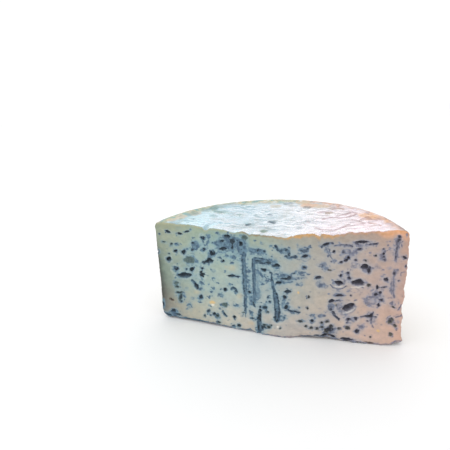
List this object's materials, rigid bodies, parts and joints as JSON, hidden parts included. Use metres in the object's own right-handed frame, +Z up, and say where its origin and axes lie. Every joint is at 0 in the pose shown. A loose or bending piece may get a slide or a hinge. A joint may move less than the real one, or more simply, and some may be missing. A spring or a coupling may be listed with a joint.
{
  "type": "blue cheese wedge",
  "caption": "Wide wedge of veined blue cheese cut from a small cylindrical wheel, two upright cut faces meeting in a blunt edge, rind on top, wall and underside.",
  "frame": {"origin": "under the middle of the bounding box, on the surface the wedge rests on", "axes": "+Z up; the two cut faces look towards -Y and the curved rind wall is at +Y; +X runs from the left to the right end of the cut as seen from the cut side"},
  "size_m": [0.2, 0.1079, 0.092],
  "materials": {
    "blue_cheese": "moist ivory paste with blue-grey mould veins and dark eyes on the cuts; thin natural tan rind, wet and glossy on top"
  },
  "bodies": {
    "root": {"cheese_wedge": "blue_cheese"}
  },
  "joints": []
}
